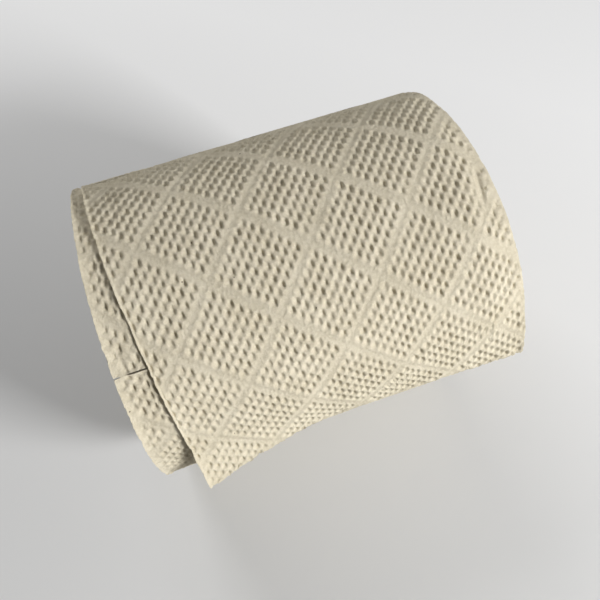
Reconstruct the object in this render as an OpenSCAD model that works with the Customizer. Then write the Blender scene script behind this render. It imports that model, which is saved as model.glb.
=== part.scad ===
// Toilet paper roll lying on its side: one embossed paper web wound on a card tube.
// The axis runs along +X, the front is -Y, and the flat spot rests on Z = 0 under the tube's middle.
// Angles around the roll are counted from the top, forwards over the front and on in the winding direction.

/* [Roll] */
// Outside diameter of the wound roll
roll_d = 92.4; // [84:0.2:130]
// Width of the paper web and length of the tube
sheet_w = 100; // [85:1:125]
// Width of the flat spot that the soft roll rests on
flat_w = 16; // [10:1:22]

/* [Tube] */
// Bore of the card tube
core_bore = 41; // [36:0.5:48]
// Wall of the card tube
core_wall = 1; // [0.6:0.1:2]
// Room between the tube and the first turn
core_room = 0.15; // [0.12:0.01:0.4]

/* [Turns] */
// Pitch of one wound turn, which stands for several layers of tissue
turn_pitch = 1.9; // [1.5:0.1:3]
// Pitch of each of the last two turns
last_pitch = 1; // [0.6:0.05:1.2]
// Gap between neighbouring turns
turn_gap = 0.15; // [0.12:0.01:0.25]
// Thickness of the web's first edge, on the tube
lead_edge = 0.5; // [0.3:0.1:1]

/* [Last sheet] */
// Angle at which the last sheet runs off to the side
sheet_skew = 4.2; // [0:0.1:6]
// Angle from the top where it starts to run off, behind the roll
skew_from = -81; // [-110:1:-40]
// Length around the roll over which it turns to that angle
skew_ease = 24; // [5:1:50]
// Angle from the top of the torn end, at the sheet's middle
tail_at = 99; // [80:1:120]
// Angle from the top of the last point where the sheet still lies on the roll
peel_at = 94.7; // [85:0.1:120]
// Place of that point along the axis
peel_x = 1.7; // [-20:0.1:20]
// How steeply the line where the sheet lifts off runs back from there, towards the uncovered end
peel_back = 0.494; // [0:0.001:0.8]
// The same towards the end that the sheet overhangs
peel_over = 0.355; // [0:0.001:0.8]
// Curl of the tail lifted at the uncovered end, as a share of the roll's own, negative where it bends away
curl_back = -0.14; // [-0.5:0.01:0.8]
// The same at the overhung end
curl_over = 0.55; // [-0.5:0.01:0.8]

/* [Emboss] */
// Size of a quilted diamond along the axis
diamond_w = 27.7; // [20:0.1:40]
// Size of a quilted diamond around the roll
diamond_h = 29.35; // [20:0.05:40]
// Depth of the plain bands between the diamonds
band_depth = 0.35; // [0.1:0.05:0.5]
// One crossing of two bands, across the sheet from its middle
cross_s = 13.2; // [-20:0.1:20]
// The same crossing, around the roll from the top
cross_c = 4.3; // [-20:0.1:20]

/* [Hidden] */

paper_colour = [0.80, 0.75, 0.65];
card_colour = [0.70, 0.62, 0.50];

// How finely the web is drawn: steps in a wound turn and in half a diamond, and columns per inner column
turn_steps = 36;
half_cells = 4;
inner_skip = 3;

// The roll and its flat spot
roll_r = roll_d / 2;
rest_drop = roll_r - sqrt(pow(roll_r, 2) - pow(flat_w / 2, 2));
axis_z = roll_r - rest_drop;
mm_per_deg = roll_r * PI / 180;

// The tube and the spiral: thick turns from the tube outwards, then the thin last ones
core_r = core_bore / 2 + core_wall;
first_r = core_r + core_room;
thin_turns = 2;
thick_room = roll_r - thin_turns * last_pitch - first_r - lead_edge;
thick_turns = round(thick_room / turn_pitch);
thick_pitch = thick_room / thick_turns;
all_turns = thin_turns + thick_turns;
last_thick = last_pitch - turn_gap;
// A thin turn rises to its own level over this share of a turn, a little past the torn end
rise_share = 0.12;
rise_lag = 0.03;

// The last sheet
tail_c = tail_at * mm_per_deg;
// The embossed face goes on under the torn end by this angle
under_tail = 12;
start_c = (tail_at - 360 - under_tail) * mm_per_deg;

// The grid of the embossed face lies on the crossings of the bands, and keeps clear of the sheet's edges
col_step = diamond_w / 2 / half_cells;
row_step = diamond_h * cos(sheet_skew) / 2 / half_cells;
edge_room = 0.3;
col_first = ceil((-sheet_w / 2 - cross_s) / col_step + edge_room);
col_last = floor((sheet_w / 2 - cross_s) / col_step - edge_room);
row_first = ceil((start_c - cross_c) / row_step);
row_last = floor((tail_c - cross_c) / row_step - edge_room);
cols = concat(-sheet_w / 2, [for (i = [col_first : col_last]) cross_s + i * col_step], sheet_w / 2);
rows = concat([for (j = [row_first : row_last]) cross_c + j * row_step], tail_c);
few_cols = concat([for (k = [0 : inner_skip : len(cols) - 2]) cols[k]], sheet_w / 2);
last_row = len(rows) - 1;
function inner_cols(j) = j == last_row ? cols : few_cols;

// Outer and inner radius of the web, by the number of turns left to the torn end
function rise(left) = min(max((left - floor(left) - 1 + rise_lag) / rise_share + 1, 0), 1);
function outer_r(left) = left <= thin_turns
    ? roll_r - last_pitch * (floor(left) + rise(left))
    : roll_r - last_pitch * thin_turns - thick_pitch * (left - thin_turns);
function on_tube(left) = left > all_turns - 1 + 0.5 / turn_steps;
function inner_r(left) = on_tube(left) ? first_r : outer_r(left + 1) + turn_gap;
function turns_left(angle) = (tail_at - angle) / 360;

// A point on a turn of radius r, sunk by dent and flattened at the bottom, less so nearer the tube
function out(angle) = [-sin(angle), cos(angle)];
function along(angle) = [-cos(angle), -sin(angle)];
function rest_level(r) = -(r - rest_drop * pow((r - first_r) / (roll_r - first_r), 2));
function on_roll(x, angle, r, dent = 0) =
    let (p = (r - dent) * out(angle))
    [x, p[0], axis_z + max(p[1], rest_level(r))];

// A point on the lifted tail, at a height over the sheet's outer face
function peel_c(x) = peel_at * mm_per_deg - max(peel_back * (peel_x - x), peel_over * (x - peel_x));
function tail_curl(x) = x < peel_x ? curl_back : curl_over;
function on_tail(x, c, height) =
    let (
        free = c - peel_c(x),
        lift = peel_c(x) / mm_per_deg,
        turn = tail_curl(x) * free / mm_per_deg,
        p = roll_r * out(lift) + free * along(lift + turn / 2) + height * out(lift + turn)
    )
    [x, p[0], axis_z + p[1]];

// The last sheet: s across it and c around the roll at its middle give x along the axis and c at that point
function ease(c) = min(max((c / mm_per_deg - skew_from) * mm_per_deg / skew_ease + 0.5, 0), 1);
function skew_at(c) = atan(tan(sheet_skew) * ease(c));
function middle_x(c) = tan(sheet_skew) * (ease(c) < 1
    ? skew_ease * pow(ease(c), 2) / 2
    : c - skew_from * mm_per_deg);
function sheet_x(s, c) = middle_x(c) + s * cos(skew_at(c));
function sheet_c(s, c) = c - s * sin(skew_at(c));

// Depth of the bands: full on the lattice lines, none one grid step away
function off_line(v) = abs(v - round(v)) * 2 * half_cells;
function band(s, c) =
    let (
        u = (s - cross_s) / diamond_w,
        v = (c - cross_c) / (diamond_h * cos(sheet_skew))
    )
    band_depth * max(0, 1 - min(off_line(v + u), off_line(v - u)));

function sheet_outside(s, c) =
    let (
        x = sheet_x(s, c),
        at = sheet_c(s, c),
        dent = band(s, c),
        angle = at / mm_per_deg
    )
    at > peel_c(x) ? on_tail(x, at, -dent) : on_roll(x, angle, outer_r(turns_left(angle)), dent);
function sheet_inside(s, c) =
    let (
        x = sheet_x(s, c),
        at = sheet_c(s, c),
        angle = at / mm_per_deg
    )
    at > peel_c(x) ? on_tail(x, at, -last_thick) : on_roll(x, angle, inner_r(turns_left(angle)));

// The wound turns are stations of four corners, on the same angles in every turn
first_angle = tail_at - 360 * all_turns;
stations = floor((rows[0] / mm_per_deg - first_angle) * turn_steps / 360 - edge_room);
function station(i) =
    let (
        angle = first_angle + i * 360 / turn_steps,
        left = turns_left(angle),
        half = sheet_w / 2
    )
    [
        on_roll(-half, angle, outer_r(left)),
        on_roll(half, angle, outer_r(left)),
        on_roll(-half, angle, inner_r(left)),
        on_roll(half, angle, inner_r(left))
    ];

web_points = concat(
    [for (i = [0 : stations]) each station(i)],
    [for (j = [0 : last_row]) each concat(
        [for (s = cols) sheet_outside(s, rows[j])],
        [for (s = inner_cols(j)) sheet_inside(s, rows[j])]
    )]
);

// Where each station's and each row's points stand in that list, outer face first
corners = 4;
row_size = len(cols) + len(few_cols);
row_start = corners * (stations + 1);
function outer_of_station(i) = [corners * i, corners * i + 1];
function inner_of_station(i) = [corners * i + 2, corners * i + 3];
function outer_of_row(j) = [for (k = [0 : len(cols) - 1]) row_start + j * row_size + k];
function inner_of_row(j) = [for (k = [0 : len(inner_cols(j)) - 1]) row_start + j * row_size + len(cols) + k];

function turned(list) = [for (k = [len(list) - 1 : -1 : 0]) list[k]];
function flipped(faces) = [for (f = faces) turned(f)];
function last(list) = list[len(list) - 1];

// Two triangles of a four-sided patch
function patch(a, b, c, d) = [[a, b, c], [a, c, d]];

// A strip of patches between two lines of equal length
function strip(a, b) = [for (k = [0 : len(a) - 2]) each patch(a[k], a[k + 1], b[k + 1], b[k])];

// A strip of triangles between a line of few points and one of many, which starts and ends beside it
function fan_end(few, many, k) = k == len(few) - 1 ? len(many) - 1 : k * inner_skip;
function fans(few, many) = [
    for (k = [0 : len(few) - 2]) each concat(
        [for (m = [fan_end(few, many, k) : 1 : fan_end(few, many, k + 1) - 1]) [few[k], many[m + 1], many[m]]],
        [[few[k], few[k + 1], many[fan_end(few, many, k + 1)]]]
    )
];

// The two cut edges between one pair of outer and inner lines and the next
function edges(outer_a, inner_a, outer_b, inner_b) = concat(
    patch(outer_a[0], outer_b[0], inner_b[0], inner_a[0]),
    patch(last(outer_b), last(outer_a), last(inner_a), last(inner_b))
);

// The embossed face between two rows, with each patch split along the band that crosses it
function quarter(k) = floor(k / half_cells);
function rises(k, j) = (quarter(col_first - 1 + k) + quarter(row_first + j)) % 2 == 0;
function embossed(j) =
    let (a = outer_of_row(j), b = outer_of_row(j + 1))
    [for (k = [0 : len(a) - 2]) each rises(k, j)
        ? patch(a[k], a[k + 1], b[k + 1], b[k])
        : patch(b[k], a[k], a[k + 1], b[k + 1])];

// The smooth face under it, with as many points at the torn end as the embossed face has
function inner_face(j) = j < last_row - 1
    ? strip(inner_of_row(j), inner_of_row(j + 1))
    : fans(inner_of_row(j), inner_of_row(j + 1));

web_faces = concat(
    strip(turned(outer_of_station(0)), turned(inner_of_station(0))),
    [for (i = [0 : stations - 1]) each concat(
        strip(outer_of_station(i), outer_of_station(i + 1)),
        flipped(strip(inner_of_station(i), inner_of_station(i + 1))),
        edges(outer_of_station(i), inner_of_station(i), outer_of_station(i + 1), inner_of_station(i + 1))
    )],
    fans(outer_of_station(stations), outer_of_row(0)),
    flipped(fans(inner_of_station(stations), inner_of_row(0))),
    edges(outer_of_station(stations), inner_of_station(stations), outer_of_row(0), inner_of_row(0)),
    [for (j = [0 : last_row - 1]) each concat(
        embossed(j),
        flipped(inner_face(j)),
        edges(outer_of_row(j), inner_of_row(j), outer_of_row(j + 1), inner_of_row(j + 1))
    )],
    strip(outer_of_row(last_row), inner_of_row(last_row))
);

// One continuous strip of tissue: the wound turns, the skewed last sheet and its lifted tail
module paper_web() {
    color(paper_colour) polyhedron(points = web_points, faces = web_faces, convexity = 20);
}

// Spiral-wound card tube that the web is wound on
module core_tube() {
    end_cut = 1;
    color(card_colour)
        translate([-sheet_w / 2, 0, axis_z])
        rotate([0, 90, 0])
        difference() {
            cylinder(h = sheet_w, r = core_r, $fn = 96);
            translate([0, 0, -end_cut]) cylinder(h = sheet_w + 2 * end_cut, d = core_bore, $fn = 96);
        }
}

paper_web();
core_tube();
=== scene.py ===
from math import cos, pi, radians, sin, tan

import bpy
import numpy as np
from mathutils import Matrix, Vector


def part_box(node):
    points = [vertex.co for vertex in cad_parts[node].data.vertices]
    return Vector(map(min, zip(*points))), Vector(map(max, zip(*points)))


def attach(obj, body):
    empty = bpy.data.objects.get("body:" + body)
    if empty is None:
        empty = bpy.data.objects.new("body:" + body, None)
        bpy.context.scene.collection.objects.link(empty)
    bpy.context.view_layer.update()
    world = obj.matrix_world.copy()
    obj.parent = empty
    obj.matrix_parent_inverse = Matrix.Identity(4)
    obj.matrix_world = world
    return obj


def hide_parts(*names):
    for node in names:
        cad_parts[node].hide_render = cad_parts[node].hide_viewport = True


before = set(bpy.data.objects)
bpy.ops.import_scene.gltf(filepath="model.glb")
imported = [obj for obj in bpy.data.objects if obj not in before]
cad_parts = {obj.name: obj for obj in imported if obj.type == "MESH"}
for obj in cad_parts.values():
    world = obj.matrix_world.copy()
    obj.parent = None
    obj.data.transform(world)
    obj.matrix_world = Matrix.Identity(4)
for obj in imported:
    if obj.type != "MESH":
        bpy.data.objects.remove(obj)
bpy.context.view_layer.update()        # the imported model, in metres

# the roll's own sizes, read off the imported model, in millimetres
mm = 0.001
tubeLow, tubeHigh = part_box("core_tube")
webLow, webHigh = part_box("paper_web")
axisZ = (tubeLow.z + tubeHigh.z) / 2 / mm
tubeRadius = (tubeHigh.z - tubeLow.z) / 2 / mm
halfWidth = (tubeHigh.x - tubeLow.x) / 2 / mm
rollRadius = webHigh.z / mm - axisZ
print("frame: roll radius %.2f, half width %.1f, axis at %.2f mm" % (rollRadius, halfWidth, axisZ))

scene = bpy.context.scene
scene.view_settings.view_transform = "Standard"


# camera at the photograph's viewing angle
view = {
    "aim": (4.107, -6.708, 41.297),  # mm
    "distance": 212.64,
    "azimuth": -12.73,               # degrees, 0 looks along +Y
    "elevation": 59.38,
    "roll": -6.98,
    "lens": 39.74,
}


def addCamera():
    turn, rise, roll = (radians(view[key]) for key in ("azimuth", "elevation", "roll"))
    back = Vector((sin(turn) * cos(rise), -cos(turn) * cos(rise), sin(rise)))
    level = Vector((cos(turn), sin(turn), 0))
    right = cos(roll) * level + sin(roll) * back.cross(level)
    up = back.cross(right)
    place = (Vector(view["aim"]) + view["distance"] * back) * mm
    data = bpy.data.cameras.new("camera")
    data.lens = view["lens"]
    data.clip_start = 0.01
    camera = bpy.data.objects.new("camera", data)
    camera.matrix_world = Matrix.Translation(place) @ Matrix((right, up, back)).transposed().to_4x4()
    scene.collection.objects.link(camera)
    scene.camera = camera


addCamera()
print("camera set")


# small helpers for materials
def newMaterial(name):
    material = bpy.data.materials.new(name)
    material.use_nodes = True
    nodes, links = material.node_tree.nodes, material.node_tree.links
    shader = nodes["Principled BSDF"]
    where = nodes.new("ShaderNodeTexCoord").outputs["Object"]
    return material, nodes, links, shader, where


def addNoise(nodes, links, where, size, detail=3.0, rough=0.6):
    noise = nodes.new("ShaderNodeTexNoise")
    noise.inputs["Scale"].default_value = 1 / (size * mm)    # size of one blotch, in mm
    noise.inputs["Detail"].default_value = detail
    noise.inputs["Roughness"].default_value = rough
    links.new(where, noise.inputs["Vector"])
    return noise.outputs["Fac"]


def addRamp(nodes, links, value, stops):
    ramp = nodes.new("ShaderNodeValToRGB")
    while len(ramp.color_ramp.elements) < len(stops):
        ramp.color_ramp.elements.new(0.5)
    for element, (place, colour) in zip(ramp.color_ramp.elements, stops):
        element.position = place
        element.color = (*colour, 1)
    links.new(value, ramp.inputs["Fac"])
    return ramp.outputs["Color"]


def addMix(nodes, links, share, first, second, kind="MIX"):
    mix = nodes.new("ShaderNodeMix")
    mix.data_type = "RGBA"
    mix.blend_type = kind
    for socket, value in ((mix.inputs[0], share), (mix.inputs[6], first), (mix.inputs[7], second)):
        if isinstance(value, bpy.types.NodeSocket):
            links.new(value, socket)
        else:
            socket.default_value = value
    return mix.outputs[2]


# unbleached tissue: soft blotches, short fibres and a few dark specks
tissue = {
    "light": (0.70, 0.635, 0.49),
    "dark": (0.60, 0.535, 0.395),
    "fibre": (0.82, 0.76, 0.63),
    "speck": (0.10, 0.075, 0.05),
    "blotch": 7.0,       # mm
    "fibreSize": 0.8,
    "speckSize": 2.5,
    "grain": 0.55,       # depth of the fibre grain, mm
    "endGrain": 0.10,    # at the cut ends of the roll
    "roughness": 0.95,
    "specular": 0.15,
}


def tissueMaterial(name, grain):
    material, nodes, links, shader, where = newMaterial(name)
    blotch = addNoise(nodes, links, where, tissue["blotch"])
    colour = addRamp(nodes, links, blotch, [(0.30, tissue["dark"]), (0.70, tissue["light"])])
    fibre = addNoise(nodes, links, where, tissue["fibreSize"], 5.0, 0.75)
    share = addRamp(nodes, links, fibre, [(0.45, (0, 0, 0)), (0.80, (0.7, 0.7, 0.7))])
    colour = addMix(nodes, links, share, colour, (*tissue["fibre"], 1))
    # a speck sits in a few of the cells only
    cells = nodes.new("ShaderNodeTexVoronoi")
    cells.inputs["Scale"].default_value = 1 / (tissue["speckSize"] * mm)
    links.new(where, cells.inputs["Vector"])
    near = addRamp(nodes, links, cells.outputs["Distance"], [(0.05, (1, 1, 1)), (0.13, (0, 0, 0))])
    split = nodes.new("ShaderNodeSeparateColor")
    links.new(cells.outputs["Color"], split.inputs[0])
    rare = addRamp(nodes, links, split.outputs[0], [(0.965, (0, 0, 0)), (0.985, (1, 1, 1))])
    speck = addMix(nodes, links, 1.0, near, rare, "MULTIPLY")
    colour = addMix(nodes, links, speck, colour, (*tissue["speck"], 1))
    links.new(colour, shader.inputs["Base Color"])
    shader.inputs["Roughness"].default_value = tissue["roughness"]
    shader.inputs["Specular IOR Level"].default_value = tissue["specular"]
    bump = nodes.new("ShaderNodeBump")
    bump.inputs["Strength"].default_value = 1.0
    bump.inputs["Distance"].default_value = grain * mm
    links.new(fibre, bump.inputs["Height"])
    links.new(bump.outputs["Normal"], shader.inputs["Normal"])
    return material


# grey-brown card with the seam of its spiral winding
card = {
    "light": (0.52, 0.42, 0.30),
    "dark": (0.42, 0.33, 0.23),
    "seam": (0.26, 0.20, 0.14),
    "blotch": 4.0,
    "fibreSize": 0.4,
    "strip": 62.0,       # rise of the spiral seam in one turn, mm
    "grain": 0.04,
    "roughness": 0.88,
    "specular": 0.20,
}


def cardMaterial():
    material, nodes, links, shader, where = newMaterial("wound_card")
    blotch = addNoise(nodes, links, where, card["blotch"], 5.0)
    colour = addRamp(nodes, links, blotch, [(0.35, card["dark"]), (0.68, card["light"])])
    # the seam climbs evenly with the angle around the tube
    split = nodes.new("ShaderNodeSeparateXYZ")
    links.new(where, split.inputs[0])
    height = nodes.new("ShaderNodeMath")
    height.operation = "SUBTRACT"
    height.inputs[1].default_value = axisZ * mm
    links.new(split.outputs["Z"], height.inputs[0])
    angle = nodes.new("ShaderNodeMath")
    angle.operation = "ARCTAN2"
    links.new(split.outputs["Y"], angle.inputs[0])
    links.new(height.outputs[0], angle.inputs[1])
    climb = nodes.new("ShaderNodeMath")
    climb.operation = "MULTIPLY_ADD"
    climb.inputs[1].default_value = card["strip"] * mm / (2 * pi)
    links.new(angle.outputs[0], climb.inputs[0])
    links.new(split.outputs["X"], climb.inputs[2])
    strip = nodes.new("ShaderNodeMath")
    strip.operation = "PINGPONG"
    strip.inputs[1].default_value = card["strip"] * mm / 2
    links.new(climb.outputs[0], strip.inputs[0])
    line = nodes.new("ShaderNodeMath")
    line.operation = "MULTIPLY"
    line.inputs[1].default_value = 1 / mm
    links.new(strip.outputs[0], line.inputs[0])
    seam = addRamp(nodes, links, line.outputs[0], [(0.15, (1, 1, 1)), (0.45, (0, 0, 0))])
    colour = addMix(nodes, links, seam, colour, (*card["seam"], 1))
    links.new(colour, shader.inputs["Base Color"])
    shader.inputs["Roughness"].default_value = card["roughness"]
    shader.inputs["Specular IOR Level"].default_value = card["specular"]
    fibre = addNoise(nodes, links, where, card["fibreSize"], 4.0, 0.7)
    bump = nodes.new("ShaderNodeBump")
    bump.inputs["Distance"].default_value = card["grain"] * mm
    links.new(fibre, bump.inputs["Height"])
    links.new(bump.outputs["Normal"], shader.inputs["Normal"])
    return material


paper = tissueMaterial("unbleached_tissue", tissue["grain"])
endPaper = tissueMaterial("tissue_layers", tissue["endGrain"])
print("materials made")


# how the web lies: angles are from the top, forwards over the front, and grow towards the torn end
web = {
    "sheetLength": 111.1,   # between two perforations, mm around the roll
    "tornAngle": 99.0,      # degrees, at the sheet's middle
    "turnStep": 1.0,        # from one loose turn down to the next
    "riseShare": 0.12,      # share of a turn over which the web climbs that step
    "riseLag": 0.03,
    "skew": 4.2,            # degrees that the last sheet runs off to the side
    "skewFrom": -81.0,
    "skewEase": 24.0,       # mm
    "peelAngle": 94.7,      # last point where the sheet lies on the roll
    "peelX": 1.7,
    "peelSlopes": (0.494, 0.355),    # of the lift-off line, back towards the left and the right end
    "curls": (-0.14, 0.55),          # of the lifted tail there, as shares of the roll's own curl
    "curlEase": 8.0,        # mm over which one curl turns into the other
    "flatFrom": -22.0,      # the soft roll is flatter behind this angle
    "flatTo": -170.0,
    "flatEase": (30.0, 60.0),
    "flatDepth": 1.15,
    "coverEase": (2.0, 4.0),         # mm over which a turn sinks under the next, at its side and its end
    "droop": 2.8,           # how far the overhanging side sinks at the top, mm
    "droopFrom": 2.5,       # mm inside the roll's end
    "droopReach": 6.5,
    "droopFront": 0.25,     # share of it that stays at the front
    "droopBehind": (-50.0, 60.0),    # angle behind the top where it begins, and degrees until it is full
    "droopFree": 15.0,      # length of the lifted tail over which it ends
}
tornAt = radians(web["tornAngle"]) * rollRadius
skewFrom = radians(web["skewFrom"]) * rollRadius
skewSlope = tan(radians(web["skew"]))


def smooth(value):
    value = np.clip(value, 0, 1)
    return value * value * (3 - 2 * value)


def flatBack(angle):
    angle = (angle + 180) % 360 - 180
    near, far = web["flatEase"]
    shape = smooth((web["flatFrom"] - angle) / near) * smooth((angle - web["flatTo"]) / far)
    return web["flatDepth"] * shape


def turnRadius(angle):
    left = np.maximum(web["tornAngle"] - angle, 0) / 360
    whole = np.floor(left)
    drop = smooth((left - whole - 1 + web["riseLag"]) / web["riseShare"] + 1)
    return rollRadius - web["turnStep"] * (whole + drop) - flatBack(angle)


def sheetToRoll(across, along):
    # place on the flat sheet to place along the axis and around the roll
    ease = np.clip((along - skewFrom) / web["skewEase"] + 0.5, 0, 1)
    turn = np.arctan(skewSlope * ease)
    middle = skewSlope * np.where(ease < 1, web["skewEase"] * ease ** 2 / 2, along - skewFrom)
    return middle + across * np.cos(turn), along - across * np.sin(turn)


def liftLine(x):
    left, right = web["peelSlopes"]
    off = x - web["peelX"]
    return radians(web["peelAngle"]) * rollRadius - np.maximum(-left * off, right * off)


def freeLength(x, arc):
    return np.maximum(arc - liftLine(x), 0)


def tailCurl(x):
    left, right = web["curls"]
    return left + (right - left) * smooth((x - web["peelX"]) / web["curlEase"] + 0.5)


def tucked(x, arc):
    # 1 where the next turn covers the web, 0 in the open
    above = arc + 2 * pi * rollRadius
    coverEdge = sheetToRoll(-halfWidth, above)[0]
    side, end = web["coverEase"]
    return smooth((x - coverEdge) / side) * smooth((liftLine(x) - above) / end)


def droop(x, arc, free):
    # what reaches past the roll's end sinks by its own weight, most at the top
    past = np.maximum(x - halfWidth + web["droopFrom"], 0) / web["droopReach"]
    front = web["droopFront"]
    weight = front + (1 - front) * np.maximum(np.cos(arc / rollRadius), 0)
    # it fades out behind the top and where the tail has lifted off
    begin, ease = web["droopBehind"]
    weight = weight * smooth((np.degrees(arc / rollRadius) - begin) / ease)
    weight = weight * (1 - smooth(free / web["droopFree"]))
    return web["droop"] * weight * past ** 2 / (1 + past)


def placeOnRoll(across, along, height):
    x, arc = sheetToRoll(across, along)
    free = freeLength(x, arc)
    radius = turnRadius(np.degrees(arc / rollRadius)) - droop(x, arc, free)
    on = (arc - free) / rollRadius
    bend = tailCurl(x) * free / rollRadius
    y = -radius * np.sin(on) - free * np.cos(on + bend / 2) - height * np.sin(on + bend)
    z = radius * np.cos(on) - free * np.sin(on + bend / 2) + height * np.cos(on + bend)
    z = np.maximum(z + axisZ, np.maximum(rollRadius - radius - height, 0))    # flat spot under the roll
    return np.stack([x, y, z], -1) * mm


# the quilting: diamonds of small pits with plain bands between them
emboss = {
    "diamondWidth": 27.7,     # mm across the sheet
    "diamondLength": 29.35,   # mm along it
    "crossing": (13.2, 4.3),  # a crossing of two bands, across the sheet and around from the top
    "side": 8,                # dot spacings in a diamond's side
    "pit": (1.50, 0.60),      # width of a pit to the left and to the right of its deepest line
    "pitLength": (1.75, 1.15),  # from its deepest point back and forwards
    "pitDepth": 1.0,
    "pitEnd": 1.8,            # 1 for pointed ends, more for full ones
    "bandDepth": 0.34,        # the bands are shallow grooves
    "bandReach": 0.80,        # half their width, in dot spacings
    "uneven": 0.20,           # how much pits differ in depth
    "sizes": 0.10,            # and in size
    "stray": (0.14, 0.18),    # how far they stand off the lattice, across and along, mm
    "fibre": 0.04,            # roughness of the surface, mm
    "slack": 0.10,            # slow waves of the sheet, mm
    "slackSize": 24,          # their length
}
stepAcross = emboss["diamondWidth"] / (2 * emboss["side"])
stepAlong = emboss["diamondLength"] * cos(radians(web["skew"])) / (2 * emboss["side"])
pitMiddle = (emboss["pit"][0] - emboss["pit"][1]) / 2    # from a dot's middle to its deepest point


def softWaves(across, along, size, seed, count=12):
    rng = np.random.default_rng(seed)
    total = np.zeros(np.broadcast(across, along).shape)
    for heading, phase, pace in zip(*rng.uniform(0, 2 * pi, (2, count)), rng.uniform(0.6, 1.5, count)):
        reach = 2 * pi * pace / size
        total += np.sin((across * cos(heading) + along * sin(heading)) * reach + phase)
    return total / (count / 2) ** 0.5


def embossHeight(across, along, stretch=1.0, depth=1.0):
    rng = np.random.default_rng(11)
    luck = rng.uniform(-1, 1, (4, 61, 67))    # a table of chance, used over and over
    u = (across - emboss["crossing"][0]) / stepAcross
    v = (along - emboss["crossing"][1]) / stepAlong
    a, b = (v + u) / 2, (v - u) / 2    # dots counted across the two families of bands
    side = emboss["side"]
    fromBand = np.minimum(np.abs(a - side * np.round(a / side)), np.abs(b - side * np.round(b / side)))
    height = -emboss["bandDepth"] * (1 - smooth(fromBand / emboss["bandReach"]))
    pit = np.zeros_like(height)
    for da in (-1, 0, 1):
        for db in (-1, 0, 1):
            dotA, dotB = (np.round(a) + da).astype(int), (np.round(b) + db).astype(int)
            deep, wide, offAcross, offAlong = luck[:, dotA % luck.shape[1], dotB % luck.shape[2]]
            dx = ((a - dotA) - (b - dotB)) * stepAcross - emboss["stray"][0] * offAcross - pitMiddle
            dy = ((a - dotA) + (b - dotB)) * stepAlong - emboss["stray"][1] * offAlong
            size = 1 + emboss["sizes"] * wide
            width = np.where(dx < 0, *emboss["pit"]) * size
            length = np.where(dy < 0, *emboss["pitLength"]) * size * stretch
            reach = np.minimum(np.abs(dy) / length, 1)
            shape = np.maximum(1 - np.abs(dx) / width, 0) * (1 - reach ** emboss["pitEnd"])
            shape *= (1 + emboss["uneven"] * deep) * (dotA % side != 0) * (dotB % side != 0)
            pit = np.maximum(pit, shape)
    return height - emboss["pitDepth"] * depth * pit


# marks of handling on the last sheet and on the strip beside it, in mm:
# across, along, reach to the left and to the right, half length, depth, how far each mm along moves it
dents = {
    "edge": (47.9, 21.0, 1.7, 0.55, 6.0, 1.1, -0.2),
    "corner": (48.5, tornAt - 2.4, 1.2, 0.5, 1.6, 1.7, 0),
    "nick": (-halfWidth, 51.5, 0.7, 0.7, 0.5, 0.5, 0),
}
creases = {
    "fold": (-47.6, tornAt - 3 * web["sheetLength"] - 3.4, 0.5, 0.5, 3.2, 0.5, 0.1),
}


def dentDepth(across, along, marks):
    depth = np.zeros(across.shape)
    for side, place, left, right, tall, deep, slant in marks.values():
        ahead = along - place
        off = across - side - slant * ahead
        depth += deep * np.exp(-(off / np.where(off < 0, left, right)) ** 2 - (ahead / tall) ** 4)
    return depth


# one sheet of the web as a closed mesh: a fine face outside, a coarser one inside
cut = {
    "back": 1.20,         # depth of the inside where the sheet lies on the roll
    "tuck": 0.55,         # how far covered parts give way to the pits above
    "edge": 0.30,         # thickness at the cut edges
    "rim": 0.12,          # width of the outermost row of faces
    "lipWidth": 0.6,      # of the turned-up long edges
    "lipWave": 11,        # length over which they turn up more or less
    "jag": 0.06,          # raggedness of the long edges
    "jagWaves": (9, 2.2),  # lengths of its waves
    "plain": 0.9,         # length at the ends where the pits fade out
    "pull": 1.5,          # reach of the ragged and torn edges into the grid
    "slit": 0.42,         # width of an open perforation
    "bond": 2.0,          # length of a bridge between two slits
    "bondPitch": 8.0,
    "firstBond": 1.9,     # from the sheet's left edge to the first bridge
    "tear": 0.6,          # height of the torn teeth
    "teeth": (2.6, 1.1),  # their lengths, coarse and fine
    "peel": 3,            # length of the lifted tail over which its inside takes on the pits
}


def gridLines(low, high, origin, step, coarse):
    # the lattice lines between two edges, and which of them the inside keeps
    rim = cut["rim"]
    index = np.arange(np.ceil((low - origin) / step + 0.6), np.floor((high - origin) / step - 0.6) + 1)
    lines = np.concatenate(([low, low + rim], origin + step * index, [high - rim, high]))
    keep = np.concatenate(([0], 2 + np.flatnonzero(index % coarse == 0), [len(lines) - 1]))
    return lines, keep


def slitGap(across):
    # zero on the bridges, half a slit elsewhere
    off = (across + halfWidth - cut["firstBond"]) / cut["bondPitch"]
    off = np.abs(off - np.round(off)) * cut["bondPitch"]
    return cut["slit"] / 2 * smooth((off - cut["bond"] / 2) / 0.4 + 0.5)


def tornEdge(across):
    rng = np.random.default_rng(5)
    coarse, fine = cut["teeth"]
    teeth = softWaves(across, 0 * across, coarse, 21) + 0.7 * softWaves(across, 0 * across, fine, 22)
    return (cut["tear"] * (0.45 * teeth - 0.5) + 0.2 * rng.uniform(-1, 1, across.shape)).clip(-1.0, 0.2)


def raggedEdge(rows, seed, wander):
    # how far a long edge stands in from its line; wander is (angle, half length in degrees, mm)
    rng = np.random.default_rng(seed)
    slow, quick = cut["jagWaves"]
    waves = softWaves(0 * rows, rows, slow, seed) + softWaves(0 * rows, rows, quick, seed + 1)
    angle = (np.degrees(rows / rollRadius) + 180) % 360 - 180
    middle, half, shift = wander
    drift = shift * np.exp(-((angle - middle) / half) ** 4)
    return drift + cut["jag"] * (1.2 + waves + 0.8 * rng.uniform(-1, 1, rows.shape)).clip(0)


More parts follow.
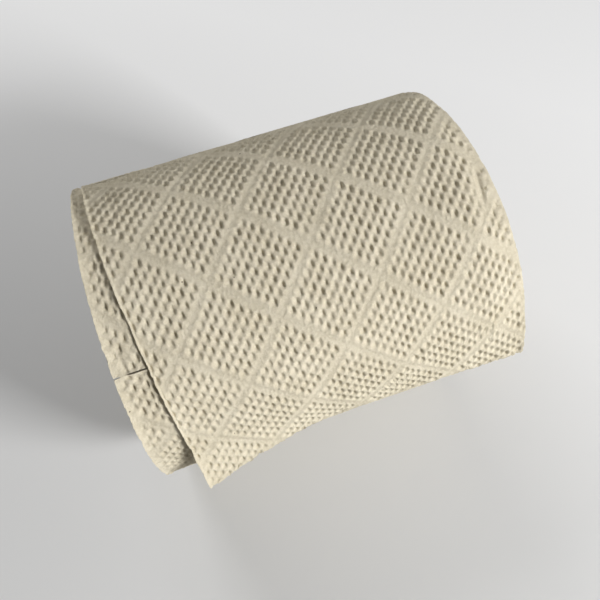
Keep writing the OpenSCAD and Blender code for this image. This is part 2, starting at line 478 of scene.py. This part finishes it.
def meshObject(name, points, faces, material=paper, sharp=60):
    mesh = bpy.data.meshes.new(name)
    mesh.from_pydata(points.tolist(), [], faces)
    mesh.polygons.foreach_set("use_smooth", [True] * len(mesh.polygons))
    mesh.set_sharp_from_angle(angle=radians(sharp))
    mesh.validate()
    mesh.materials.append(material)
    piece = bpy.data.objects.new(name, mesh)
    scene.collection.objects.link(piece)
    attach(piece, "root")
    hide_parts("paper_web")
    print("%s: %d triangles" % (name, sum(len(face) - 2 for face in faces)))
    return piece


def addSheet(name, start, end, columns, colKeep, look):
    rows, rowKeep = gridLines(start, end, emboss["crossing"][1], stepAlong / look["fine"], look["fine"])
    across, along = np.meshgrid(columns, rows)
    fromLeft, fromRight = across + halfWidth, halfWidth - across
    fromStart, toEnd = along - start, end - along
    fromSide = np.minimum(fromLeft, fromRight)
    plain = smooth(fromSide / look["plain"]) * smooth(np.minimum(fromStart, toEnd) / cut["plain"])

    # the cut edges draw the nearest lines of the grid with them
    def near(distance):
        return 1 - smooth(distance / cut["pull"])

    across = across + raggedEdge(rows, look["seed"] + 1, look["left"])[:, None] * near(fromLeft)
    across = across - raggedEdge(rows, look["seed"] + 3, look["right"])[:, None] * near(fromRight)
    along = along + slitGap(columns) * near(fromStart)
    along = along + (tornEdge(columns) if look["torn"] else -slitGap(columns)) * near(toEnd)

    hidden = tucked(*sheetToRoll(across, along))
    outside = look["height"](across, along, plain * (1 - hidden))
    outside += look["puff"] - (look["puff"] + cut["tuck"]) * hidden
    rng = np.random.default_rng(look["seed"])
    outside += emboss["fibre"] * rng.uniform(-1, 1, outside.shape)
    waves = softWaves(across, along, emboss["slackSize"], look["seed"])
    outside += emboss["slack"] * (np.minimum(waves, 0) - 0.3)
    turnedUp = 0.5 + 0.5 * smooth(0.5 + 0.6 * softWaves(across, along, cut["lipWave"], look["seed"] + 5))
    for lip, distance in zip(look["lips"], (fromLeft, fromRight)):
        outside += lip * turnedUp * (1 - smooth(distance / cut["lipWidth"]))

    # the inside follows the pits where the sheet hangs free, and is thin at the edges
    few = np.ix_(rowKeep, colKeep)
    free = smooth(freeLength(*sheetToRoll(across, along)) / cut["peel"])
    inside = (free * (0.75 * outside - cut["edge"] - 0.1) - (1 - free) * cut["back"])[few]
    rim = np.zeros(inside.shape, bool)
    rim[[0, -1]] = rim[:, [0, -1]] = True
    inside[rim] = (outside[few] - cut["edge"])[rim]

    outer = np.arange(across.size).reshape(across.shape)
    inner = across.size + np.arange(inside.size).reshape(inside.shape)
    points = np.concatenate((
        placeOnRoll(across, along, outside).reshape(-1, 3),
        placeOnRoll(across[few], along[few], inside).reshape(-1, 3),
    ))
    faces = []
    for grid in (outer, inner.T):
        quads = np.stack((grid[:-1, :-1], grid[1:, :-1], grid[1:, 1:], grid[:-1, 1:]), -1)
        faces += quads.reshape(-1, 4).tolist()
    # the four cut edges close the sheet
    for line, under, keep, turned in (
        (outer[0], inner[0], colKeep, False),
        (outer[-1], inner[-1], colKeep, True),
        (outer[:, 0], inner[:, 0], rowKeep, True),
        (outer[:, -1], inner[:, -1], rowKeep, False),
    ):
        for k in range(len(keep) - 1):
            face = line[keep[k]:keep[k + 1] + 1].tolist() + [int(under[k + 1]), int(under[k])]
            faces.append(face[::-1] if turned else face)
    return meshObject(name, points, faces)


def perforation(count):
    return tornAt - count * web["sheetLength"]


def sheetColumns(fine):
    return gridLines(-halfWidth, halfWidth, emboss["crossing"][0], stepAcross / fine, fine)


def freshHeight(across, along, plain):
    return embossHeight(across, along) * plain


loose = {"height": 0.35, "width": 3.0, "between": (20, 75)}    # mm, mm, degrees from the top


def handledHeight(across, along, plain):
    # the left edge stands off the turn under it, more so towards the tail
    low, high = loose["between"]
    stand = loose["height"] * smooth((np.degrees(along / rollRadius) - low) / (high - low))
    stand = stand * (1 - smooth((across + halfWidth) / loose["width"]))
    dent = dentDepth(across, along, dents)
    return freshHeight(across, along, plain * (1 - smooth(dent / 0.4))) - dent + stand


# fine is grid lines in a dot spacing, plain the width without pits at the long edges, lips how far these
# turn up, puff how far the sheet stands off, left and right how the edges wander
straight = (0, 1, 0)
lastLook = {
    "fine": 5, "height": handledHeight, "seed": 40, "torn": True, "plain": 0.9, "puff": 0,
    "lips": (0.40, -0.25), "left": (55, 38, 0.6), "right": (25, 55, -1.7),
}
backLook = {
    "fine": 4, "height": freshHeight, "seed": 50, "torn": False, "plain": 0.9, "puff": 0,
    "lips": (0.15, 0.15), "left": straight, "right": straight,
}
addSheet("last_sheet", perforation(1), perforation(0), *sheetColumns(lastLook["fine"]), lastLook)
addSheet("second_sheet", perforation(2), perforation(1), *sheetColumns(backLook["fine"]), backLook)

# the turn under the last sheet shows in a strip beside it, with longer and deeper pits
strip = {
    "width": 14.0,         # fine part of the turn, mm
    "coarseStep": 2.6,
    "streak": 0.1,         # how much longer the pits are drawn there
    "depth": 1.15,         # and how much deeper they are
    "shift": 3.0,          # its lattice runs ahead of the last sheet's, mm
    "relaxed": (55, 75),   # angles between which they become as on the last sheet
    "fine": 4,
}


def pulledHeight(across, along, plain):
    low, high = strip["relaxed"]
    angle = (np.degrees(along / rollRadius) + 180) % 360 - 180
    pulled = 1 - smooth((angle - low) / (high - low))
    depth = 1 - (1 - strip["depth"]) * pulled
    height = embossHeight(across, along + strip["shift"], 1 + strip["streak"] * pulled, depth) * plain
    return height - dentDepth(across, along, creases)


pulledLook = {
    "fine": strip["fine"], "height": pulledHeight, "seed": 60, "torn": False, "plain": 2.0, "puff": 0.65,
    "lips": (0.5, 0.2), "left": (60, 55, -0.8), "right": straight,
}


def addUnderTurn():
    fine = strip["fine"]
    edge = strip["width"] - halfWidth
    shown, shownKeep = gridLines(-halfWidth, edge, emboss["crossing"][0], stepAcross / fine, fine)
    rest, restKeep = gridLines(edge, halfWidth, emboss["crossing"][0], strip["coarseStep"], 1)
    columns = np.concatenate((shown, rest[1:]))
    keep = np.concatenate((shownKeep, restKeep[1:] + len(shown) - 1))
    start = radians(web["tornAngle"] - 360 * (2 - web["riseLag"])) * rollRadius
    addSheet("under_turn", start, perforation(3), columns, keep, {**pulledLook, "seed": 70})


addSheet("third_sheet", perforation(3), perforation(2), *sheetColumns(strip["fine"]), pulledLook)
addUnderTurn()


# the tightly wound turns: one spiral whose layers show at both ends
coil = {
    "pitch": 0.42,       # from one layer to the next, mm
    "steps": 150,        # points in a turn
    "groove": 0.45,      # depth between two layers at the ends
    "uneven": 0.20,      # how far single layers stand back
    "waves": 16,         # length of the waves of the ends
    "room": 0.15,        # to the tube and to the loose turns
    "inset": 0.12,       # from the sheets' edges
}


def woundTurns():
    steps = coil["steps"]
    low = tubeRadius + coil["room"]
    high = rollRadius - 2 * web["turnStep"] - cut["tuck"] - coil["room"]
    turns = round((high - low) / coil["pitch"])
    pitch = (high - low) / turns
    index = np.arange(turns * steps + 1)
    angle = 2 * pi * index / steps
    ridgeR = low + pitch * index / steps
    grooveR = (ridgeR + pitch / 2)[:-steps]
    flat = rollRadius - axisZ
    rng = np.random.default_rng(80)
    layer = np.repeat(rng.uniform(-1, 1, turns + 1), steps)[:len(index)]

    def ring(x, radius, turn):
        share = ((radius - low) / (rollRadius - low)) ** 2
        rest = radius - flat * share
        radius = radius - flatBack(np.degrees(turn)) * share
        y = -radius * np.sin(turn)
        z = np.maximum(radius * np.cos(turn), -rest) + axisZ
        return np.stack([x, y, z], -1) * mm

    points, loops, faces = [], [], []
    for side in (-1, 1):
        wave = softWaves(ridgeR * np.cos(angle), ridgeR * np.sin(angle), coil["waves"], 90 + side)
        back = coil["uneven"] * (1 + 0.6 * layer + 0.5 * wave).clip(0)
        ridgeX = side * (halfWidth - coil["inset"] - back)
        grooveX = (ridgeX - side * coil["groove"])[:-steps]
        base = sum(len(group) for group in points)
        points += [ring(ridgeX, ridgeR, angle), ring(grooveX, grooveR, angle[:-steps])]
        ridge = base + index
        groove = base + len(index) + np.arange(len(grooveR))
        quads = np.concatenate((
            np.stack((ridge[:-steps - 1], ridge[1:-steps], groove[1:], groove[:-1]), -1),
            np.stack((groove[:-1], groove[1:], ridge[steps + 1:], ridge[steps:-1]), -1),
        ))
        faces += (quads if side < 0 else quads[:, ::-1]).tolist()
        first, last = ridge[:steps + 1], ridge[-steps - 1:]
        loops.append((np.append(first, groove[0]), np.append(last, groove[-1])))
    # the bore and the outside join the two ends
    for which in (0, 1):
        left, right = loops[0][which], loops[1][which]
        wall = np.stack((left, np.roll(left, -1), np.roll(right, -1), right), -1)
        faces += (wall if which else wall[:, ::-1]).tolist()
    return meshObject("wound_turns", np.concatenate(points), faces, endPaper, 35)


woundTurns()

tube = bpy.data.objects["core_tube"]
tube.data.materials.clear()
tube.data.materials.append(cardMaterial())
print("tube dressed")


# pale floor, painted darker towards the front left as painted shade, and soft light from the front right
studio = {
    # the near tone is painted shade: the floor's colour gets darker towards the front left, and the lift
    # is smaller there too
    "floorShadedNear": (0.66, 0.66, 0.655),
    "floorFar": (0.76, 0.76, 0.76),
    "floorAim": 45.0,              # degrees from straight away towards the right
    "floorSpan": (-0.09, 0.16),    # metres that way between the two tones
    "floorLift": (0.04, 0.105),     # how much paler the floor looks there than its light makes it
    "floorSize": 3.0,          # metres
    "fill": 0.145,             # what the room alone gives
    "backdrop": 0.8,
}
# azimuth counts from the front towards the right; level is what a white card facing the lamp would show
lamps = {
    "window": {"azimuth": 42, "elevation": 22, "distance": 0.95, "size": (0.28, 0.16), "level": 1.21},
    "back": {"azimuth": -168, "elevation": 38, "distance": 0.9, "size": (0.5, 0.5), "level": 0.45},
}


def addFloor():
    half = studio["floorSize"] / 2
    mesh = bpy.data.meshes.new("floor")
    corners = [(-half, -half, 0), (half, -half, 0), (half, half, 0), (-half, half, 0)]
    mesh.from_pydata(corners, [], [(0, 1, 2, 3)])
    material, nodes, links, shader, where = newMaterial("pale_table")
    aim = radians(studio["floorAim"])
    away = nodes.new("ShaderNodeVectorMath")
    away.operation = "DOT_PRODUCT"
    away.inputs[1].default_value = (sin(aim), cos(aim), 0)
    links.new(where, away.inputs[0])
    depth = nodes.new("ShaderNodeMapRange")
    depth.inputs["From Min"].default_value, depth.inputs["From Max"].default_value = studio["floorSpan"]
    links.new(away.outputs["Value"], depth.inputs["Value"])
    # painted shade: the floor's colour runs from the far tone to the darker near tone along floorAim
    tones = [(0, studio["floorShadedNear"]), (1, studio["floorFar"])]
    shadedFloorTone = addRamp(nodes, links, depth.outputs["Result"], tones)
    links.new(shadedFloorTone, shader.inputs["Base Color"])
    shader.inputs["Roughness"].default_value = 0.7
    shader.inputs["Specular IOR Level"].default_value = 0.2
    # the lift is only for what looks at the floor, and gives the roll no light
    path = nodes.new("ShaderNodeLightPath")
    seen = nodes.new("ShaderNodeMath")
    seen.operation = "ADD"
    links.new(path.outputs["Is Camera Ray"], seen.inputs[0])
    links.new(path.outputs["Is Glossy Ray"], seen.inputs[1])
    links.new(seen.outputs[0], shader.inputs["Emission Strength"])
    # the smaller lift near the front left adds to the painted shade there
    lifts = [(k, 3 * (studio["floorLift"][k],)) for k in (0, 1)]
    lift = addRamp(nodes, links, depth.outputs["Result"], lifts)
    links.new(lift, shader.inputs["Emission Color"])
    mesh.materials.append(material)
    floor = bpy.data.objects.new("floor", mesh)
    scene.collection.objects.link(floor)


def addLamp(name, azimuth, elevation, distance, size, level):
    turn, rise = radians(azimuth), radians(elevation)
    towards = Vector((sin(turn) * cos(rise), -cos(turn) * cos(rise), sin(rise)))
    data = bpy.data.lights.new(name, "AREA")
    data.shape = "RECTANGLE"
    data.size, data.size_y = size
    data.energy = level * pi ** 2 * distance ** 2
    lamp = bpy.data.objects.new(name, data)
    lamp.location = towards * distance + Vector((0, 0, axisZ * mm))
    lamp.rotation_euler = towards.to_track_quat("Z", "Y").to_euler()
    scene.collection.objects.link(lamp)


def addRoom():
    world = bpy.data.worlds.new("room")
    world.use_nodes = True
    scene.world = world
    nodes, links = world.node_tree.nodes, world.node_tree.links
    path = nodes.new("ShaderNodeLightPath")
    level = nodes.new("ShaderNodeMapRange")
    level.inputs["To Min"].default_value = studio["fill"]
    level.inputs["To Max"].default_value = studio["backdrop"]
    links.new(path.outputs["Is Camera Ray"], level.inputs["Value"])
    links.new(level.outputs["Result"], nodes["Background"].inputs["Strength"])
    nodes["Background"].inputs["Color"].default_value = (1, 1, 1, 1)


addFloor()
for name, values in lamps.items():
    addLamp(name, **values)
addRoom()
print("floor and light set")
